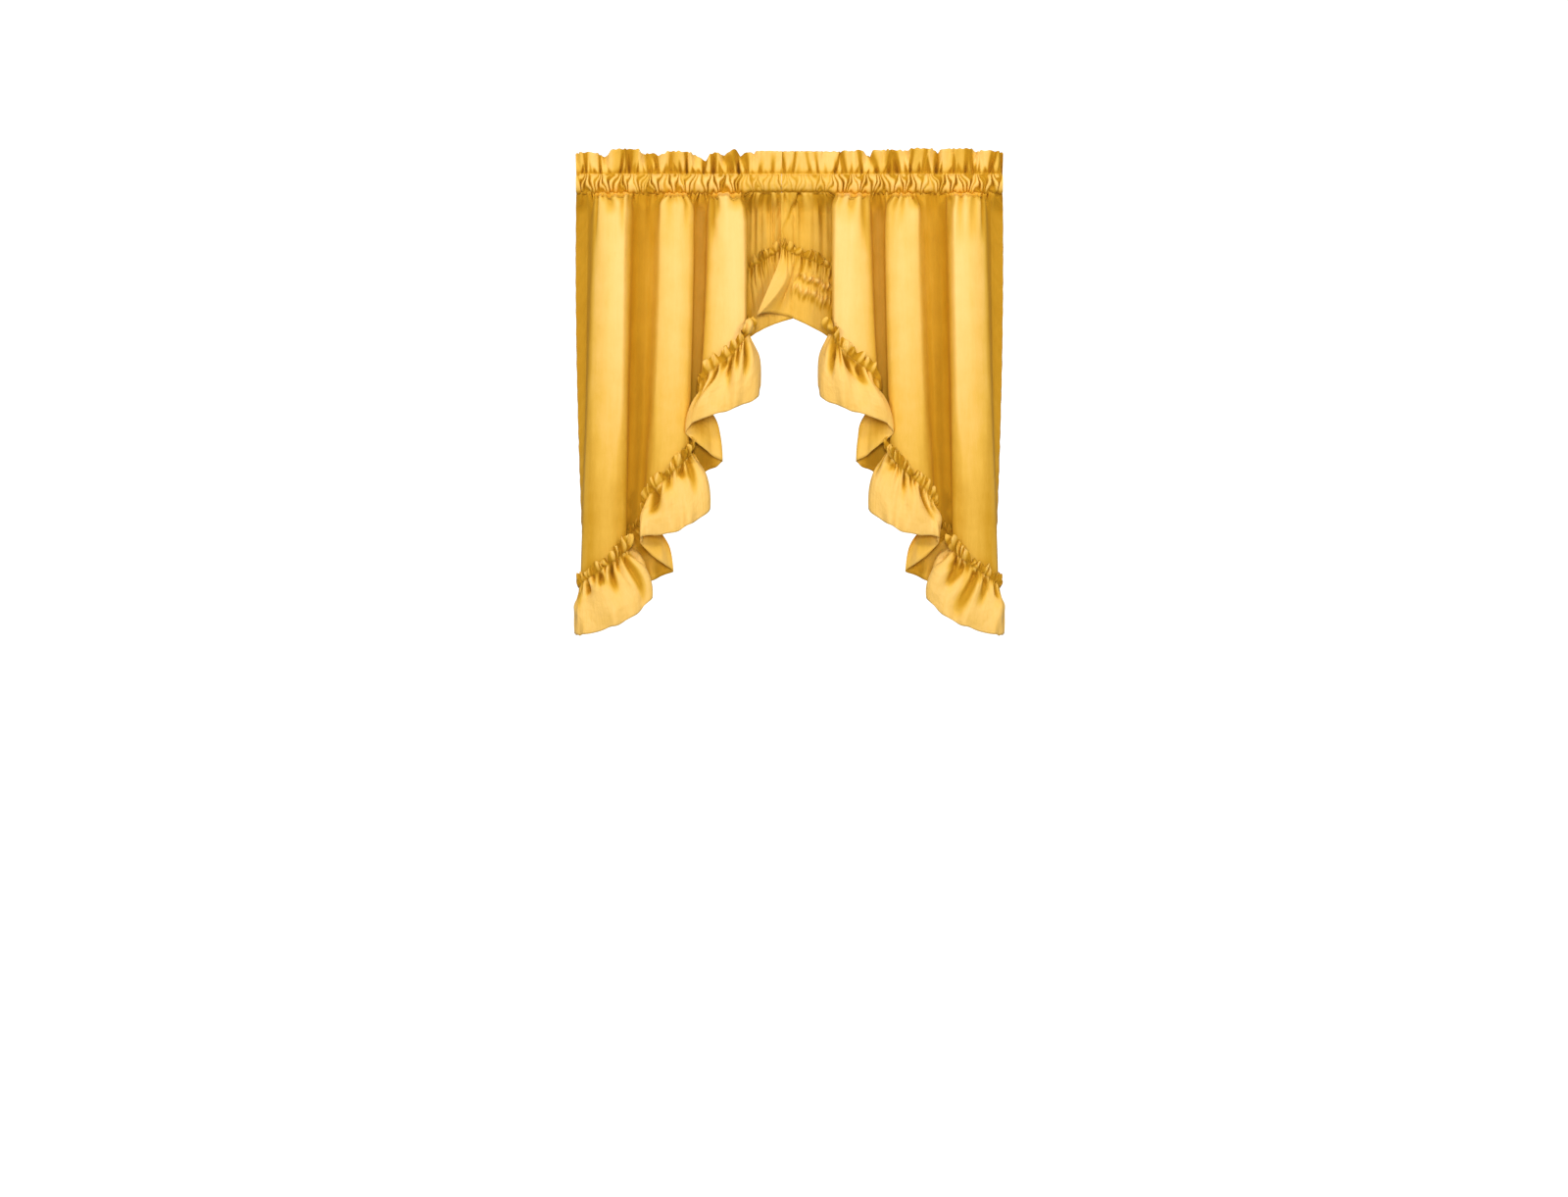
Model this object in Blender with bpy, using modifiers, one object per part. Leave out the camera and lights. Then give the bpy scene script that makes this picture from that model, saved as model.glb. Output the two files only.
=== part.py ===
"""A ruffled swag: two curtain halves that hang side by side from one rod pocket.

Each half is a panel gathered on a rod pocket, with a frill standing above the pocket, a diagonal
lower edge that is short at the middle of the swag and long at its side, and a gathered ruffle
sewn along that edge. Lengths are metres, +Z is up, +X is to the right seen from the front and
-Y is the front. The origin is the middle of the rod pocket, on the pocket's axis.

Points are worked out for one half as (out, fwd, z): out is the distance from the middle of the
swag, fwd the distance from the pocket's axis to the front.
"""

import math
from collections import namedtuple

import bmesh
import bpy
import numpy as np
from mathutils import Vector

# Overall sizes
SWAG_WIDTH = 0.850
CLOTH = 0.0016
SEWN_GAP = 0.0004

# Rod pocket and the frill above it
POCKET_HALF_HEIGHT = 0.0176
POCKET_HALF_DEPTH = 0.0150
POCKET_PUCKER = 0.0010
FRILL_THICKNESS = 0.0030
HEADING_STATIONS = 40
RING_POINTS = 9

# Where each half ends near the middle of the swag. The headings meet there, and under them the
# right half's side hem laps over the left half's.
InnerEdge = namedtuple("InnerEdge", "heading out fwd")
INNER_EDGES = {
    "left": InnerEdge(0.0159, 0.0115, -0.019),
    "right": InnerEdge(-0.0151, -0.0166, -0.005),
}

# Panel
FOLD_START = 0.045
FOLD_DEPTH_START = 0.030
GATHER_REACH = 0.070
GATHER_DEPTH = 0.0020
GATHER_PITCH = 0.026
RECESS_PLEAT_DEPTH = 0.0032
RECESS_PLEAT_PITCH = 0.019
PANEL_ROWS = (0.0, 0.03, 0.08, 0.16, 0.30, 0.48, 0.66, 0.84, 1.0)
SEAM_ALLOWANCE = 0.0005

# Ruffle
RUFFLE_FRILL = 0.014
RUFFLE_FRILL_LEAN = 0.006
FRILL_CLEAR = 0.0004
FRILL_STAND = 0.0040
FRILL_CRINKLE = 0.0025
RUFFLE_LEAVE = 0.034
RUFFLE_HANG = 0.045
RUFFLE_PUFF = 0.008
RUFFLE_GATHER_DEPTH = 0.0050
RUFFLE_GATHER_PITCH = 0.025
RUFFLE_ROWS = (-1.0, 0.0, 0.28, 0.62, 1.0)

# Lines down the panel, from its inner edge outwards. cloth is the distance along the heading when
# flat, pocket_out the place on the pocket, top and low the place just under it and at the
# diagonal seam, seam the height of that seam, loose how freely the cloth can billow there, from 0
# inside a tight fold to 1 on a fold's face, and strips the columns up to the next line.
Line = namedtuple("Line", "cloth pocket_out top_out top_fwd low_out low_fwd seam loose strips")
PANEL_LINES = (
    Line(0.000, 0.0155, 0.017, -0.014, 0.017, -0.014, -0.127, 0.2, 8),
    Line(0.050, 0.045, 0.050, -0.016, 0.050, -0.018, -0.150, 0.4, 8),
    Line(0.095, 0.072, 0.084, -0.024, 0.086, -0.024, -0.174, 0.3, 2),
    Line(0.122, 0.077, 0.112, -0.029, 0.112, -0.029, -0.198, 0.1, 1),
    Line(0.142, 0.081, 0.129, -0.018, 0.128, -0.018, -0.218, 0.1, 1),
    Line(0.158, 0.084, 0.124, -0.002, 0.120, -0.002, -0.238, 0.1, 1),
    Line(0.182, 0.088, 0.100, 0.006, 0.094, 0.006, -0.268, 0.1, 2),
    Line(0.204, 0.093, 0.084, 0.019, 0.072, 0.019, -0.292, 0.4, 2),
    Line(0.218, 0.102, 0.092, 0.033, 0.082, 0.034, -0.308, 0.9, 2),
    Line(0.242, 0.124, 0.120, 0.038, 0.114, 0.040, -0.340, 1.0, 2),
    Line(0.270, 0.150, 0.152, 0.034, 0.160, 0.037, -0.376, 0.9, 2),
    Line(0.286, 0.160, 0.163, 0.022, 0.181, 0.022, -0.398, 0.5, 2),
    Line(0.304, 0.165, 0.167, 0.004, 0.181, 0.004, -0.422, 0.2, 1),
    Line(0.326, 0.171, 0.166, -0.018, 0.177, -0.018, -0.450, 0.1, 1),
    Line(0.342, 0.176, 0.176, -0.028, 0.188, -0.028, -0.470, 0.1, 1),
    Line(0.358, 0.181, 0.190, -0.020, 0.204, -0.020, -0.488, 0.1, 1),
    Line(0.380, 0.186, 0.192, 0.002, 0.206, 0.002, -0.512, 0.1, 2),
    Line(0.398, 0.192, 0.190, 0.020, 0.199, 0.021, -0.534, 0.4, 2),
    Line(0.412, 0.203, 0.200, 0.033, 0.207, 0.035, -0.552, 0.9, 2),
    Line(0.438, 0.227, 0.226, 0.038, 0.237, 0.040, -0.584, 1.0, 2),
    Line(0.468, 0.253, 0.254, 0.032, 0.276, 0.033, -0.622, 0.9, 2),
    Line(0.484, 0.262, 0.262, 0.018, 0.289, 0.019, -0.644, 0.5, 2),
    Line(0.502, 0.271, 0.269, 0.002, 0.294, 0.002, -0.664, 0.2, 1),
    Line(0.520, 0.282, 0.282, -0.008, 0.303, -0.009, -0.682, 0.2, 1),
    Line(0.538, 0.297, 0.299, -0.008, 0.318, -0.009, -0.698, 0.2, 1),
    Line(0.554, 0.308, 0.311, 0.002, 0.326, 0.002, -0.712, 0.2, 2),
    Line(0.572, 0.317, 0.319, 0.020, 0.326, 0.021, -0.728, 0.5, 2),
    Line(0.586, 0.329, 0.330, 0.031, 0.334, 0.033, -0.740, 0.9, 2),
    Line(0.614, 0.354, 0.355, 0.036, 0.365, 0.038, -0.764, 1.0, 2),
    Line(0.648, 0.381, 0.382, 0.030, 0.402, 0.031, -0.790, 0.9, 2),
    Line(0.664, 0.389, 0.389, 0.014, 0.414, 0.016, -0.800, 0.5, 2),
    Line(0.686, 0.395, 0.391, -0.008, 0.416, -0.006, -0.806, 0.3, 1),
    Line(0.706, 0.403, 0.402, -0.021, 0.409, -0.022, -0.809, 0.3, 1),
    Line(0.732, 0.4242, 0.4242, -0.025, 0.396, -0.036, -0.811, 0.3, 0),
)

# The ruffle's hem below each part of the seam: three lobes come forward, and the cloth between
# them folds back towards the middle and then outwards again behind the next lobe.
Hem = namedtuple("Hem", "cloth out fwd z")
CENTRE_HEM = {
    "left": (
        Hem(0.000, -0.002, -0.022, -0.262),
        Hem(0.045, 0.036, -0.019, -0.282),
    ),
    "right": (
        Hem(0.000, -0.068, 0.001, -0.262),
        Hem(0.020, -0.014, -0.001, -0.234),
        Hem(0.050, 0.034, -0.008, -0.280),
    ),
}
HEM_LINES = (
    Hem(0.095, 0.076, -0.022, -0.303),
    Hem(0.128, 0.110, -0.022, -0.330),
    Hem(0.150, 0.114, -0.008, -0.352),
    Hem(0.178, 0.080, 0.002, -0.386),
    Hem(0.198, 0.055, 0.019, -0.412),
    Hem(0.212, 0.062, 0.042, -0.428),
    Hem(0.240, 0.116, 0.054, -0.452),
    Hem(0.268, 0.194, 0.051, -0.486),
    Hem(0.281, 0.202, 0.036, -0.500),
    Hem(0.300, 0.156, 0.018, -0.540),
    Hem(0.315, 0.135, 0.002, -0.556),
    Hem(0.334, 0.168, -0.014, -0.576),
    Hem(0.350, 0.190, -0.008, -0.596),
    Hem(0.368, 0.184, 0.010, -0.624),
    Hem(0.388, 0.159, 0.028, -0.650),
    Hem(0.402, 0.165, 0.043, -0.664),
    Hem(0.434, 0.228, 0.054, -0.685),
    Hem(0.466, 0.290, 0.050, -0.701),
    Hem(0.479, 0.297, 0.036, -0.714),
    Hem(0.498, 0.252, 0.020, -0.758),
    Hem(0.513, 0.231, 0.006, -0.771),
    Hem(0.530, 0.262, -0.006, -0.786),
    Hem(0.545, 0.286, 0.002, -0.797),
    Hem(0.560, 0.286, 0.018, -0.808),
    Hem(0.576, 0.275, 0.036, -0.822),
    Hem(0.590, 0.288, 0.049, -0.838),
    Hem(0.624, 0.352, 0.055, -0.872),
    Hem(0.660, 0.416, 0.044, -0.895),
    Hem(0.682, 0.424, 0.020, -0.898),
    Hem(0.732, 0.410, -0.026, -0.894),
)

# The top edge of the frill: how high it stands over the pocket's axis and how far it leans forward
Crest = namedtuple("Crest", "out rise fwd")
CENTRE_CREST = {
    "left": (
        Crest(0.000, 0.062, 0.007),
        Crest(0.050, 0.063, 0.010),
        Crest(0.073, 0.058, 0.004),
        Crest(0.094, 0.061, -0.006),
        Crest(0.112, 0.064, 0.010),
        Crest(0.132, 0.055, -0.006),
        Crest(0.151, 0.058, 0.009),
    ),
    "right": (
        Crest(-0.020, 0.062, 0.007),
        Crest(0.020, 0.062, 0.010),
        Crest(0.060, 0.062, 0.005),
        Crest(0.090, 0.062, 0.001),
        Crest(0.120, 0.063, 0.008),
        Crest(0.148, 0.064, 0.011),
    ),
}
CRESTS = (
    Crest(0.168, 0.047, -0.008),
    Crest(0.196, 0.059, 0.006),
    Crest(0.226, 0.061, 0.012),
    Crest(0.254, 0.054, 0.004),
    Crest(0.270, 0.061, -0.010),
    Crest(0.292, 0.058, 0.000),
    Crest(0.314, 0.066, 0.014),
    Crest(0.346, 0.066, 0.011),
    Crest(0.362, 0.053, 0.002),
    Crest(0.378, 0.057, -0.007),
    Crest(0.402, 0.061, 0.007),
    Crest(0.425, 0.059, 0.000),
)

YELLOW = (0.96, 0.62, 0.15, 1.0)


def smoothstep(x):
    """0 below 0, 1 above 1, and a smooth rise between."""
    x = min(1.0, max(0.0, x))
    return x * x * (3.0 - 2.0 * x)


def mix(a, b, share):
    return a + (b - a) * share


def smooth_through(knots, values):
    """A smooth curve through the values that doesn't swing past them."""
    knots = np.array(knots, float)
    values = np.array(values, float)
    gaps = np.diff(knots)
    slopes = np.diff(values) / gaps
    tangents = np.zeros(len(knots))
    tangents[0], tangents[-1] = slopes[0], slopes[-1]
    for i in range(1, len(slopes)):
        if slopes[i - 1] * slopes[i] > 0:
            near, far = 2 * gaps[i] + gaps[i - 1], gaps[i] + 2 * gaps[i - 1]
            tangents[i] = (near + far) / (near / slopes[i - 1] + far / slopes[i])

    def at(x):
        i = int(np.clip(np.searchsorted(knots, x) - 1, 0, len(gaps) - 1))
        t = (x - knots[i]) / gaps[i]
        start = (1 + 2 * t) * (1 - t) ** 2 * values[i] + t * (1 - t) ** 2 * gaps[i] * tangents[i]
        end = t * t * (3 - 2 * t) * values[i + 1] - t * t * (1 - t) * gaps[i] * tangents[i + 1]
        return start + end

    return at


def table_curves(rows, key):
    """One smooth curve for each column of a table, against the column named key."""
    knots = [getattr(row, key) for row in rows]
    columns = [name for name in rows[0]._fields if name != key]
    return {name: smooth_through(knots, [getattr(row, name) for row in rows]) for name in columns}


def uneven_wave(x, pitch, offset=0.0):
    """A wave of about one fold a pitch, with folds of unlike width and depth, from -1 to 1."""
    turn = 2 * math.pi * x / pitch + offset
    drift = 0.9 * math.sin(0.37 * turn + 1.3) + 0.5 * math.sin(0.61 * turn + 4.1)
    return math.sin(turn + drift) * (0.75 + 0.25 * math.sin(0.43 * turn + 2.2))


def panel_columns():
    """Places along the heading, with each line's own number of strips up to the next line."""
    places = []
    for line, following in zip(PANEL_LINES, PANEL_LINES[1:]):
        for k in range(line.strips):
            places.append(mix(line.cloth, following.cloth, k / line.strips))
    return places + [PANEL_LINES[-1].cloth]


class Half:
    """The shape of one half of the swag, as points (out, fwd, z)."""

    def __init__(self, name):
        self.name = name
        self.side = -1.0 if name == "left" else 1.0
        self.inner = INNER_EDGES[name]
        self.columns = panel_columns()
        self.lines = table_curves(PANEL_LINES, "cloth")
        self.hems = table_curves(CENTRE_HEM[name] + HEM_LINES, "cloth")
        self.crests = table_curves(CENTRE_CREST[name] + CRESTS, "out")

    def place(self, point):
        out, fwd, z = point
        return Vector((self.side * out, -fwd, z))

    def panel_point(self, cloth, z):
        """The middle of the panel's cloth at a distance along the heading and a height."""
        top = -POCKET_HALF_HEIGHT
        fall = (top - z) / (top - self.lines["seam"](cloth))
        settled = smoothstep((top - z) / FOLD_START)
        deep = smoothstep((top - z) / FOLD_DEPTH_START)
        folded_out = mix(self.lines["top_out"](cloth), self.lines["low_out"](cloth), fall)
        folded_fwd = mix(self.lines["top_fwd"](cloth), self.lines["low_fwd"](cloth), fall)
        edge = PANEL_LINES[0]
        centre = 1.0 - smoothstep(cloth / PANEL_LINES[2].cloth)
        pocket_out = self.lines["pocket_out"](cloth) + (self.inner.heading - edge.pocket_out) * centre
        folded_out += (self.inner.out - edge.top_out) * centre
        folded_fwd += (self.inner.fwd - edge.top_fwd) * centre
        fresh = 1.0 - smoothstep((top - z) / GATHER_REACH)
        gather = GATHER_DEPTH * fresh * self.lines["loose"](cloth) * uneven_wave(cloth, GATHER_PITCH)
        pleat_share = smoothstep(cloth / 0.012) * (1.0 - smoothstep((cloth - 0.080) / 0.020))
        pleat_share *= settled * (1.0 - 0.7 * smoothstep(fall))
        pleat = RECESS_PLEAT_DEPTH * pleat_share * uneven_wave(cloth, RECESS_PLEAT_PITCH, 0.8)
        return np.array((mix(pocket_out, folded_out, settled), folded_fwd * deep + gather + pleat, z))

    def way_out(self, i, z):
        """The level way out of the cloth's front at column i, longer where the cloth turns."""
        near = [self.panel_point(c, z) for c in self.columns[max(i - 1, 0) : i + 2]]
        sides = []
        for before, after in zip(near, near[1:]):
            run = after - before
            sides.append(np.array((-run[1], run[0], 0.0)) / math.hypot(run[0], run[1]))
        mean = sum(sides) / len(sides)
        return mean / max(0.5, mean @ mean)

    def strip_at(self, cloth):
        """The column before a place along the heading, and how far the place is to the next one."""
        i = int(np.clip(np.searchsorted(self.columns, cloth) - 1, 0, len(self.columns) - 2))
        return i, (cloth - self.columns[i]) / (self.columns[i + 1] - self.columns[i])

    def on_panel(self, cloth, z, clear):
        """A point off the panel's front, whose cloth runs straight from column to column."""
        i, share = self.strip_at(cloth)
        ends = [self.panel_point(self.columns[k], z) + self.way_out(k, z) * clear for k in (i, i + 1)]
        return mix(ends[0], ends[1], share)

    def seam_height(self, cloth):
        i, share = self.strip_at(cloth)
        return mix(self.lines["seam"](self.columns[i]), self.lines["seam"](self.columns[i + 1]), share)

    def ruffle_point(self, cloth, row):
        """The ruffle's cloth: row -1 is the top of its own frill, 0 the stitching and 1 the hem."""
        seam, clear = self.seam_height(cloth), CLOTH + SEWN_GAP
        loose = self.lines["loose"](cloth)
        if row < 0:
            crinkle = FRILL_CRINKLE * uneven_wave(cloth, RUFFLE_GATHER_PITCH, 2.0)
            stand = FRILL_CLEAR + loose * (FRILL_STAND + crinkle)
            to_end = (self.columns[-1] - cloth) / 0.03
            lean = RUFFLE_FRILL_LEAN * smoothstep(to_end)
            return self.on_panel(cloth + lean, seam - row * RUFFLE_FRILL, clear + stand)
        stitch = self.on_panel(cloth, seam, clear)
        outwards = self.on_panel(cloth, seam, clear + 1.0) - stitch
        outwards /= np.linalg.norm(outwards)
        hem = np.array([self.hems[name](cloth) for name in ("out", "fwd", "z")])
        leave = stitch + outwards * RUFFLE_PUFF * loose - np.array((0.0, 0.0, RUFFLE_LEAVE))
        arrive = hem + np.array((0.0, 0.0, RUFFLE_HANG))
        still = 1.0 - row
        point = still**3 * stitch + 3 * still**2 * row * leave
        point += 3 * still * row**2 * arrive + row**3 * hem
        gather = RUFFLE_GATHER_DEPTH * loose * math.sin(math.pi * min(1.0, row / 0.8) ** 0.6)
        return point + outwards * gather * uneven_wave(cloth, RUFFLE_GATHER_PITCH)

    def pocket_ring(self, out, half_height, half_depth, pucker):
        """Points round the pocket at one place along it, from the top, down the front and up the back."""
        points = []
        for k in range(RING_POINTS):
            turn = math.pi * (0.06 + 1.88 * k / (RING_POINTS - 1))
            swell = pucker * uneven_wave(out + 0.002 * k, 0.021, 0.3 * k)
            fwd = (half_depth + swell) * math.sin(turn)
            points.append((out, fwd, half_height * math.cos(turn)))
        return points

    def heading_section(self, out):
        """One cross-section of the heading: the outline of pocket and frill, and the tunnel."""
        outer = self.pocket_ring(out, POCKET_HALF_HEIGHT, POCKET_HALF_DEPTH, POCKET_PUCKER)
        inside = (POCKET_HALF_HEIGHT - CLOTH, POCKET_HALF_DEPTH - CLOTH)
        tunnel = self.pocket_ring(out, *inside, POCKET_PUCKER)
        rise, lean = self.crests["rise"](out), self.crests["fwd"](out)
        half = FRILL_THICKNESS / 2
        ruck = 0.0012 * uneven_wave(out, 0.017)
        frill = []
        for share in (1.0, 0.6, 0.25):
            z = mix(POCKET_HALF_HEIGHT, rise, share)
            frill.append((lean * share**1.3 + ruck * (1 - share), z))
        front = [(out, fwd + half, z) for fwd, z in frill]
        back = [(out, fwd - half, z) for fwd, z in reversed(frill)]
        return front + outer + back, tunnel


def fabric(name, colour):
    material = bpy.data.materials.new(name)
    material.use_nodes = True
    shader = material.node_tree.nodes["Principled BSDF"]
    shader.inputs["Base Color"].default_value = colour
    shader.inputs["Roughness"].default_value = 0.55
    shader.inputs["Metallic"].default_value = 0.0
    return material


def add_object(name, mesh, collection, material):
    mesh.materials.append(material)
    obj = bpy.data.objects.new(name, mesh)
    collection.objects.link(obj)
    mesh.shade_smooth()
    return obj


def hung_sheet(name, columns, rows, point_at, collection, material):
    """A flat grid of cloth, each point moved to where it hangs, and thickened to both sides."""
    mesh = bpy.data.meshes.new(name)
    grid = bmesh.new()
    bmesh.ops.create_grid(grid, x_segments=len(columns) - 1, y_segments=len(rows) - 1, size=0.5)
    for vertex in grid.verts:
        column = columns[round((vertex.co.x + 0.5) * (len(columns) - 1))]
        row = rows[round((vertex.co.y + 0.5) * (len(rows) - 1))]
        vertex.co = point_at(column, row)
    grid.to_mesh(mesh)
    grid.free()
    sheet = add_object(name, mesh, collection, material)
    thicken = sheet.modifiers.new("cloth", "SOLIDIFY")
    thicken.thickness = CLOTH
    thicken.offset = 0.0
    return sheet


def ruffle_columns(half):
    """The panel's columns, and one more between each two where the cloth isn't in a tight fold."""
    places = []
    for before, after in zip(half.columns, half.columns[1:]):
        places.append(before)
        if half.lines["loose"](mix(before, after, 0.5)) > 0.18:
            places.append(mix(before, after, 0.5))
    return places + [half.columns[-1]]


def make_panel(half, collection, material):
    def point_at(cloth, share):
        top = -POCKET_HALF_HEIGHT - 2 * SEWN_GAP
        low = half.lines["seam"](cloth) - SEAM_ALLOWANCE
        return half.place(half.panel_point(cloth, mix(top, low, share)))

    return hung_sheet(f"{half.name}_panel", half.columns, PANEL_ROWS, point_at, collection, material)


def make_ruffle(half, collection, material):
    def point_at(cloth, row):
        return half.place(half.ruffle_point(cloth, row))

    columns = ruffle_columns(half)
    return hung_sheet(f"{half.name}_ruffle", columns, RUFFLE_ROWS, point_at, collection, material)


def make_heading(half, collection, material):
    """A loft between the heading's cross-sections: a wavy outline with the pocket's tunnel in it."""
    inner, outer = half.inner.heading, SWAG_WIDTH / 2
    mesh = bpy.data.meshes.new(f"{half.name}_heading")
    shell = bmesh.new()
    outlines, tunnels = [], []
    for k in range(HEADING_STATIONS):
        outline, tunnel = half.heading_section(mix(inner, outer, k / (HEADING_STATIONS - 1)))
        outlines.append([shell.verts.new(half.place(p)) for p in outline])
        tunnels.append([shell.verts.new(half.place(p)) for p in tunnel])
    for loops in (outlines, tunnels):
        for first, second in zip(loops, loops[1:]):
            for i in range(len(first)):
                j = (i + 1) % len(first)
                shell.faces.new((first[i], first[j], second[j], second[i]))
    frill_points = (len(outlines[0]) - RING_POINTS) // 2
    for outline, tunnel in ((outlines[0], tunnels[0]), (outlines[-1], tunnels[-1])):
        ring = outline[frill_points : frill_points + RING_POINTS]
        for i in range(RING_POINTS - 1):
            shell.faces.new((ring[i], ring[i + 1], tunnel[i + 1], tunnel[i]))
        shell.faces.new((ring[0], tunnel[0], tunnel[-1], ring[-1]))
        for i in range(frill_points):
            shell.faces.new((outline[i], outline[i + 1], outline[-2 - i], outline[-1 - i]))
    bmesh.ops.recalc_face_normals(shell, faces=shell.faces)
    shell.to_mesh(mesh)
    shell.free()
    return add_object(f"{half.name}_heading", mesh, collection, material)


def main():
    for obj in list(bpy.data.objects):
        bpy.data.objects.remove(obj)
    collection = bpy.data.collections.new("swag")
    bpy.context.scene.collection.children.link(collection)
    for name in ("left", "right"):
        half = Half(name)
        make_heading(half, collection, fabric(f"{name}_heading_cloth", YELLOW))
        make_panel(half, collection, fabric(f"{name}_panel_cloth", YELLOW))
        make_ruffle(half, collection, fabric(f"{name}_ruffle_cloth", YELLOW))


main()
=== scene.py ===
import math
from collections import namedtuple

import bpy
import numpy as np
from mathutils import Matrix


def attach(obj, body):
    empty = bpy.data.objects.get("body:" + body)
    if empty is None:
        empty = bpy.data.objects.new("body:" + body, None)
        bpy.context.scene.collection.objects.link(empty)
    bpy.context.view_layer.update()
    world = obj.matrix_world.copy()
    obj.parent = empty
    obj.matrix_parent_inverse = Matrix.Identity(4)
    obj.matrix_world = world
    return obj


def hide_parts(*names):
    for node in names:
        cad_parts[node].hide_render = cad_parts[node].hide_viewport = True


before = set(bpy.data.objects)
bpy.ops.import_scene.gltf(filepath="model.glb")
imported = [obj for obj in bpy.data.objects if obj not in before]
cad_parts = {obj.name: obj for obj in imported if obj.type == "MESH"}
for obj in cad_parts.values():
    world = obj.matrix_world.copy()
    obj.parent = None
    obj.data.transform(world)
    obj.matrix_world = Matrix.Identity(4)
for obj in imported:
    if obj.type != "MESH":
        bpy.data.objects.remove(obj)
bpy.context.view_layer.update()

# ---------------------------------------------------------------------------------------------
# Panels. Two lengths of golden satin-faced cloth, gathered along the top and falling in deep soft
# folds, with a stitched side hem at each edge. The lower edge is cut on a slant, short at the
# middle of the swag and long at its sides.

POCKET_BOTTOM = -0.0176
CLOTH_THICKNESS = 0.0009

# Where each half's inner edge leaves its heading and hangs. The right one lies over the left.
InnerEdge = namedtuple("InnerEdge", "heading out fwd")
INNER_EDGES = {
    "left": InnerEdge(0.0157, 0.0115, -0.019),
    "right": InnerEdge(-0.0153, -0.0166, -0.005),
}

# Lines that run down the cloth, at distances along its top: where each leaves the pocket, where
# it hangs just below and where it ends at the seam, the seam's height, how freely the cloth
# creases there, and how much shade is painted into its colour, from 0 on a lit fold to 1 in the
# deepest valley.
Line = namedtuple("Line", "cloth pocket_out top_out top_fwd low_out low_fwd seam loose kept")
PANEL_LINES = (
    Line(0.000, 0.0155, 0.017, -0.014, 0.017, -0.014, -0.127, 0.2, 0.50),
    Line(0.050, 0.045, 0.050, -0.016, 0.050, -0.018, -0.150, 0.4, 0.42),
    Line(0.095, 0.072, 0.084, -0.024, 0.086, -0.024, -0.174, 0.3, 0.60),
    Line(0.122, 0.077, 0.112, -0.029, 0.112, -0.029, -0.198, 0.1, 0.90),
    Line(0.142, 0.081, 0.129, -0.018, 0.128, -0.018, -0.218, 0.1, 0.90),
    Line(0.158, 0.084, 0.124, -0.002, 0.120, -0.002, -0.238, 0.1, 0.90),
    Line(0.182, 0.088, 0.100, 0.006, 0.097, 0.006, -0.268, 0.1, 0.95),
    Line(0.204, 0.093, 0.084, 0.019, 0.086, 0.019, -0.292, 0.4, 0.70),
    Line(0.218, 0.102, 0.092, 0.037, 0.090, 0.038, -0.308, 0.9, 0.00),
    Line(0.242, 0.124, 0.118, 0.041, 0.112, 0.042, -0.340, 1.0, 0.00),
    Line(0.270, 0.150, 0.148, 0.032, 0.156, 0.035, -0.376, 0.9, 0.15),
    Line(0.286, 0.160, 0.158, 0.022, 0.176, 0.022, -0.398, 0.5, 0.50),
    Line(0.304, 0.165, 0.163, 0.004, 0.178, 0.004, -0.422, 0.2, 0.66),
    Line(0.326, 0.171, 0.165, -0.010, 0.175, -0.010, -0.450, 0.1, 0.62),
    Line(0.342, 0.176, 0.176, -0.014, 0.188, -0.014, -0.470, 0.1, 0.58),
    Line(0.358, 0.181, 0.188, -0.010, 0.202, -0.010, -0.488, 0.1, 0.60),
    Line(0.380, 0.193, 0.192, 0.004, 0.206, 0.004, -0.512, 0.1, 0.66),
    Line(0.398, 0.204, 0.190, 0.020, 0.199, 0.021, -0.534, 0.4, 0.48),
    Line(0.412, 0.213, 0.200, 0.033, 0.207, 0.035, -0.552, 0.9, 0.25),
    Line(0.438, 0.228, 0.226, 0.038, 0.237, 0.040, -0.584, 1.0, 0.10),
    Line(0.468, 0.242, 0.254, 0.032, 0.276, 0.033, -0.622, 0.9, 0.18),
    Line(0.484, 0.251, 0.262, 0.018, 0.287, 0.018, -0.644, 0.5, 0.55),
    Line(0.502, 0.264, 0.270, 0.004, 0.293, 0.004, -0.664, 0.2, 0.66),
    Line(0.520, 0.280, 0.282, -0.004, 0.302, -0.004, -0.682, 0.2, 0.78),
    Line(0.538, 0.297, 0.297, -0.004, 0.316, -0.004, -0.698, 0.2, 0.92),
    Line(0.554, 0.308, 0.309, 0.006, 0.326, 0.008, -0.712, 0.2, 1.00),
    Line(0.572, 0.317, 0.316, 0.024, 0.325, 0.024, -0.728, 0.5, 0.55),
    Line(0.586, 0.329, 0.329, 0.040, 0.334, 0.040, -0.740, 0.9, 0.00),
    Line(0.614, 0.354, 0.352, 0.040, 0.364, 0.040, -0.764, 1.0, 0.06),
    Line(0.648, 0.381, 0.381, 0.027, 0.402, 0.030, -0.790, 0.9, 0.24),
    Line(0.664, 0.389, 0.389, 0.016, 0.413, 0.018, -0.800, 0.5, 0.80),
    Line(0.686, 0.395, 0.393, 0.001, 0.416, 0.001, -0.806, 0.3, 0.95),
    Line(0.706, 0.403, 0.404, -0.016, 0.414, -0.018, -0.809, 0.3, 0.92),
    Line(0.732, 0.4242, 0.427, -0.025, 0.408, -0.036, -0.811, 0.3, 0.92),
)
RECESS_END = 0.095
PANEL_WIDTH = 0.732
PLEAT_DEPTH = 0.0036
PLEAT_PITCH = 0.0165
SWAY = 0.0014
IN_POCKET = 0.004


def smoothstep(x):
    x = np.clip(x, 0.0, 1.0)
    return x * x * (3.0 - 2.0 * x)


def mix(a, b, share):
    return a + (b - a) * share


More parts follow.
